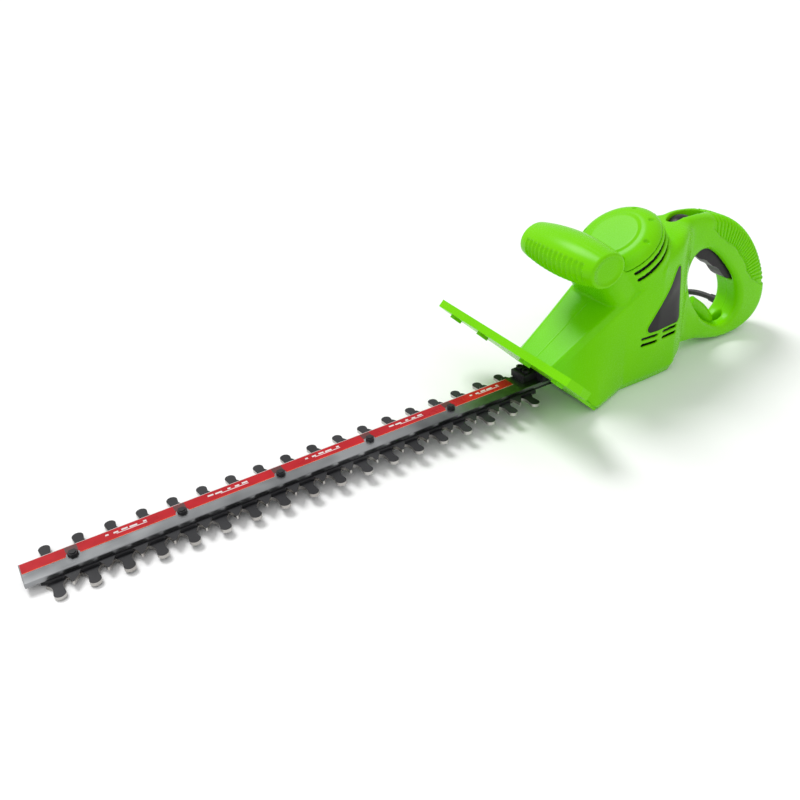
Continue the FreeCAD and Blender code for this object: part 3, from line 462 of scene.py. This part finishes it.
def label_outline(grow=0.0):
    """The rounded triangle as points in the XZ plane, grown outward from its corners' circles."""
    points = []
    for i, (x, z, r) in enumerate(LABEL_CORNERS):
        corner = Vector((x, z))
        before = (Vector(LABEL_CORNERS[i - 1][:2]) - corner).normalized()
        after = (Vector(LABEL_CORNERS[(i + 1) % 3][:2]) - corner).normalized()
        half = before.angle(after) / 2
        centre = corner + (before + after).normalized() * (r / math.sin(half))
        start, end = [corner + d * r / math.tan(half) - centre for d in (before, after)]
        a0 = math.atan2(start.y, start.x)
        span = (math.atan2(end.y, end.x) - a0 + math.pi) % (2 * math.pi) - math.pi
        for k in range(9):
            a = a0 + span * k / 8
            points.append(centre + Vector((math.cos(a), math.sin(a))) * (r + grow))
    return points


def spread(points, gap):
    """The same closed outline with points no further apart than gap."""
    dense = []
    for a, b in zip(points, points[1:] + points[:1]):
        count = max(1, math.ceil((b - a).length / gap))
        dense += [a.lerp(b, k / count) for k in range(count)]
    return dense


def on_side(tree, side, point, lift):
    """The point of the shell's flank at this x and z, lifted off it."""
    hit = tree.ray_cast(place(point.x, side * 80, point.y), Vector((0, -side, 0)))[0]
    return hit + Vector((0, side, 0)) * lift * MM


def build_labels():
    """A dark film each side that follows the flank, in a thin raised frame."""
    tree = shell_tree()
    centre = sum((Vector(c[:2]) for c in LABEL_CORNERS), Vector((0, 0))) / 3
    outline = spread(label_outline(), 2.0)
    frame_line = spread(label_outline(0.7), 2.0)
    for side, name in ((1, "left"), (-1, "right")):
        bm = bmesh.new()
        scales = [(1.0, -0.5), (1.0, 0.28), (0.985, 0.34)] + [(0.9 - 0.1 * k, 0.34) for k in range(9)]
        rings = [[bm.verts.new(on_side(tree, side, centre + (p - centre) * scale, lift)) for p in outline]
                 for scale, lift in scales]
        skin(bm, rings)
        add_bmesh(bm, "label_film_" + name, CHARCOAL, "dark_label", "side_label_" + name)
        bm = bmesh.new()
        path = [on_side(tree, side, p, -0.1) for p in frame_line]
        loop_mesh(bm, path, 0.75 * MM)
        add_bmesh(bm, "label_frame_" + name, GREEN, "green_plastic")


def dimple_depth(x, y, z):
    """Drop-shaped dimples in a ring round the cap's shoulder, 45 degrees apart."""
    at = tower_point(x, y, z)
    radius, angle = math.hypot(at.x, at.y), math.degrees(math.atan2(at.y, at.x))
    if not 27 < radius < 41 or at.z < 3:
        return 0.0
    off = (angle - 55.5 + 22.5) % 45 - 22.5
    along, out = math.radians(off) * radius, radius - 35.5
    width = 2.6 - 0.35 * out
    reach = math.hypot(along / width, out / 3.4)
    return 1.7 * (1 - step(reach, 0.35, 1.0))


def build_cap():
    """The domed tower cap with its ring of dimples."""
    mesh = moulded("cap_skin", ["tower_cap"], 0.75, 3)
    sink(mesh, dimple_depth)
    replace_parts(add_piece("cap_skin", mesh, GREEN), "tower_cap")


def build_hook():
    """The cord hook with rounded edges."""
    mesh = moulded("hook_skin", ["cord_hook"], 0.5, 4)
    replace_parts(add_piece("hook_skin", mesh, GREEN), "cord_hook")


# how far below the tower's rim each slat of its screen lies, mm
SCREEN_LEVELS = (-20.5, -18.0, -15.5, -13.0, -10.5, -8.0, -5.5, -3.5)


def build_vent_screens():
    """Dark slatted screens just inside the skin, behind the side slots and round the tower."""
    bm = bmesh.new()
    for side in (-1, 1):
        for row in range(14):
            z = 13.5 + 1.7 * row
            y = side * 32.0
            section = [(y - 0.6, z - 0.55), (y + 0.6, z - 0.55), (y + 0.6, z + 1.0), (y - 0.6, z + 1.0)]
            skin(bm, [[bm.verts.new(place(x, *at)) for at in section] for x in (-602, -578, -548)])
    middle, across, up = TOWER.translation, TOWER.col[0].to_3d(), TOWER.col[1].to_3d()
    axis = TOWER.col[2].to_3d()
    for level in SCREEN_LEVELS:
        section = [(39.2, level - 1.1), (39.2, level + 1.1), (37.8, level + 1.1), (37.8, level - 1.1)]
        closed_skin(bm, [circle(bm, middle + axis * h * MM, across, up, r * MM, 72) for r, h in section])
    add_bmesh(bm, "vent_screens", BLACK, "black_plastic", smooth=False)


# ---- front grip ----
GRIP_AT, GRIP_HALF = (-491.5, 121.4), 49.5     # the barrel's axis in x and z, and half its length, mm


def grip_radius(y, angle):
    """Radius of the front grip, in mm: full in the middle, scalloped along its front and underside."""
    radius = 15.4 + 5.6 * (1 - 0.9 * (y / GRIP_HALF) ** 2)
    edge = max(0.0, (abs(y) - GRIP_HALF + 2.0) / 2.0)
    radius -= 1.7 * (1 - math.sqrt(max(0.0, 1 - edge * edge)))
    ribbed = step(math.cos(angle - math.radians(-60)), -0.06, 0.16) * (1 - step(abs(y), 38.0, 42.0))
    wave = (0.5 + 0.5 * math.cos(2 * math.pi * y / 6.1)) ** 0.8
    seam = math.sin(angle - math.radians(70)) * radius
    return radius - ribbed * (0.1 + 1.5 * wave) - 0.25 * math.exp(-(seam / 0.5) ** 2)


def grip_loop(bm, y, inset=0.0, depth=0.0):
    """One ring of the grip's skin; the end faces use rings set in from it."""
    side = y - math.copysign(depth, y)
    loop = []
    for k in range(160):
        a = 2 * math.pi * k / 160
        r = grip_radius(y, a) - inset
        x, z = GRIP_AT[0] + 1.2 * r * math.cos(a), GRIP_AT[1] + r * math.sin(a)
        loop.append(bm.verts.new(place(x, side, z)))
    return loop


def build_grip():
    """The barrel: smooth on top with a fine mould line, ribbed in front and below, dished at both ends."""
    bm = bmesh.new()
    ends = [(0.0, 0.0), (1.3, 0.0), (1.7, 0.6), (6.0, 0.75), (11.0, 0.75)]
    loops = [grip_loop(bm, -GRIP_HALF, inset, depth) for inset, depth in reversed(ends)]
    steps = 260
    loops += [grip_loop(bm, -GRIP_HALF + 2 * GRIP_HALF * i / steps) for i in range(1, steps)]
    loops += [grip_loop(bm, GRIP_HALF, inset, depth) for inset, depth in ends]
    skin(bm, loops)
    add_bmesh(bm, "front_grip", GREEN, "green_plastic", "grip_top", "grip_under")


# ---- cutter ----
def build_cutter():
    """Blackened blades with bright ground edges, and softened edges on the bar's pieces."""
    up = TURN @ Vector((0, 0, 1))
    for node in ("lower_teeth", "upper_teeth"):
        teeth = frame["nodes"][node].data
        teeth.materials.append(GROUND)
        for face in teeth.polygons:
            face.material_index = 1 if abs(face.normal.dot(up)) < 0.7 else 0
        bevelled(node, 0.35, 1, 30, 1)
    for node, width in (("support_bar", 0.35), ("bar_clamp", 0.5), ("clamp_screws", 0.3), ("bar_nuts", 0.5),
                        ("bar_bolts", 0.4)):
        bevelled(node, width)
    bevelled("hand_guard", 1.0, 3, 30)
    bevelled("trigger", 1.2, 3, 50)
    bevelled("lock_button", 0.5, 3)
    bevelled("plug_body", 0.6, 3)


def flat_mark(bm, x, y, length, width, height):
    """A thin bar of print lying on the film."""
    low, high = BAR_TOP + 0.15, BAR_TOP + 0.2 + height
    corners = [(x, y), (x + length, y), (x + length, y + width), (x, y + width)]
    skin(bm, [[bm.verts.new(place(u, v, z)) for u, v in corners] for z in (low, high)])


def build_marks():
    """Plain bars printed on the bar's film in place of wording, and a dark patch behind each nut."""
    white, dark = bmesh.new(), bmesh.new()
    for i in range(5):
        start = BOLT_X[i]
        # a thin darker red patch on the film, on the far side of each nut
        flat_mark(dark, start - 4.6, -11.0, 9.2, 7.0, 0.03)
        for k in range(5):
            length = 2.6 + 3.4 * ((3 * k + 2 * i) % 4) / 3
            flat_mark(white, start - 58 + 7.4 * k, -8.0 + 0.4 * (k % 2), length, 1.9, 0.03)
        flat_mark(white, start - 58, -5.2, 24.0, 0.8, 0.03)
    add_bmesh(white, "film_marks", PRINT, "red_label", smooth=False)
    add_bmesh(dark, "film_patches", DARK_RED_PATCH, "red_label", smooth=False)


# ---- lead ----
LEAD_POINTS = [(-738.0, -37.0, -8.0), (-738.0, -57.0, -8.0), (-729.5, -75.1, -13.5), (-713.0, -88.1, -20.0),
               (-691.5, -92.6, -23.0), (-667.5, -91.4, -22.2), (-641.8, -87.3, -19.2), (-616.0, -84.6, -16.1),
               (-594.0, -83.8, -15.4)]


def build_lead():
    """The short lead on its smooth line, with its strain relief and plug from the frame."""
    curve = bpy.data.curves.new("power_lead", "CURVE")
    curve.dimensions, curve.bevel_depth, curve.bevel_resolution = "3D", 3.2 * MM, 8
    spline = curve.splines.new("NURBS")
    spline.points.add(len(LEAD_POINTS) - 1)
    for point, at in zip(spline.points, LEAD_POINTS):
        point.co = (*place(*at), 1)
    spline.order_u, spline.use_endpoint_u = 3, True
    spline.resolution_u = 16
    curve.materials.append(RUBBER)
    lead = bpy.data.objects.new("lead_sheath", curve)
    bpy.context.collection.objects.link(lead)
    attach(lead, "housing")
    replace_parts(lead, "power_lead")


# ---- studio ----
def build_studio():
    """A wide pale floor, an even white surround, and two soft suns."""
    bm = bmesh.new()
    bmesh.ops.create_grid(bm, x_segments=1, y_segments=1, size=6)
    mesh = bpy.data.meshes.new("floor")
    bm.to_mesh(mesh)
    bm.free()
    floor = bpy.data.objects.new("floor", mesh)
    bpy.context.collection.objects.link(floor)
    paper = surface("paper", (0.93, 0.93, 0.93), (0.95, 0.95, 0.95), (0.5, 0.62), 60.0, bump=0.02)
    mesh.materials.append(paper)
    world = bpy.data.worlds.new("studio")
    world.use_nodes = True
    world.node_tree.nodes["Background"].inputs["Color"].default_value = (1, 1, 1, 1)
    world.node_tree.nodes["Background"].inputs["Strength"].default_value = 0.62
    bpy.context.scene.world = world
    lights = [("key", (0.35, -1.0, 1.7), 24, 1.7), ("fill", (0.9, 1.4, 1.6), 50, 0.45)]
    for name, at, spread_angle, power in lights:
        data = bpy.data.lights.new(name, "SUN")
        data.angle, data.energy = math.radians(spread_angle), power
        light = bpy.data.objects.new(name, data)
        light.location = at
        light.rotation_euler = (-Vector(at)).to_track_quat("-Z", "Y").to_euler()
        bpy.context.collection.objects.link(light)


build_lead()
dress_nodes()
build_shells()
build_labels()
build_cap()
build_handle_ribs()
build_hook()
build_vent_screens()
build_grip()
build_cutter()
build_marks()
build_studio()
bpy.context.scene.view_settings.view_transform = "Standard"
